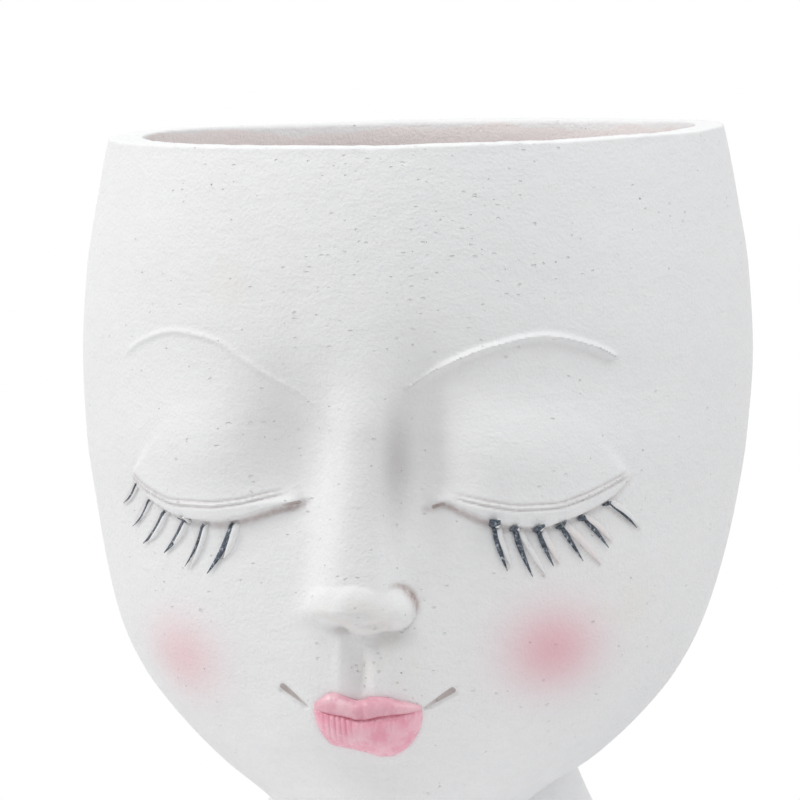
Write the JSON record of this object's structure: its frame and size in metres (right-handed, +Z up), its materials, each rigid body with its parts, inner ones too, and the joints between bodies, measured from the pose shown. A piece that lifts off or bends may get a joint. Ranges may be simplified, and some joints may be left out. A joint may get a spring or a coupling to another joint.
{
  "type": "head planter",
  "caption": "Cast head-shaped plant pot with closed eyes and painted lips and lashes, open at the forehead, on a flared neck with a drain plug.",
  "frame": {"origin": "on the ground, under the middle of the whole planter", "axes": "+Z up, the face looks along -Y, +X to the right as seen from the front"},
  "size_m": [0.149, 0.1581, 0.1921],
  "materials": {
    "casting": "matte",
    "upper_lip_paint": "satin",
    "lower_lip_paint": "satin",
    "lash_paint": "matte",
    "plug_rubber": "matte",
    "pad_rubber": "matte"
  },
  "bodies": {
    "planter": {"head_shell": "casting", "upper_lip": "upper_lip_paint", "lower_lip": "lower_lip_paint", "left_lash_1": "lash_paint", "left_lash_2": "lash_paint", "left_lash_3": "lash_paint", "left_lash_4": "lash_paint", "left_lash_5": "lash_paint", "left_lash_6": "lash_paint", "right_lash_1": "lash_paint", "right_lash_2": "lash_paint", "right_lash_3": "lash_paint", "right_lash_4": "lash_paint", "right_lash_5": "lash_paint", "right_lash_6": "lash_paint", "base_pad_1": "pad_rubber", "base_pad_2": "pad_rubber", "base_pad_3": "pad_rubber", "base_pad_4": "pad_rubber"},
    "plug": {"drain_plug": "plug_rubber"}
  },
  "joints": [
    {"name": "plug_pull", "type": "slide", "parent": "planter", "child": "plug", "axis": [0, 0, -1], "range_m": [0, 0.03]}
  ]
}
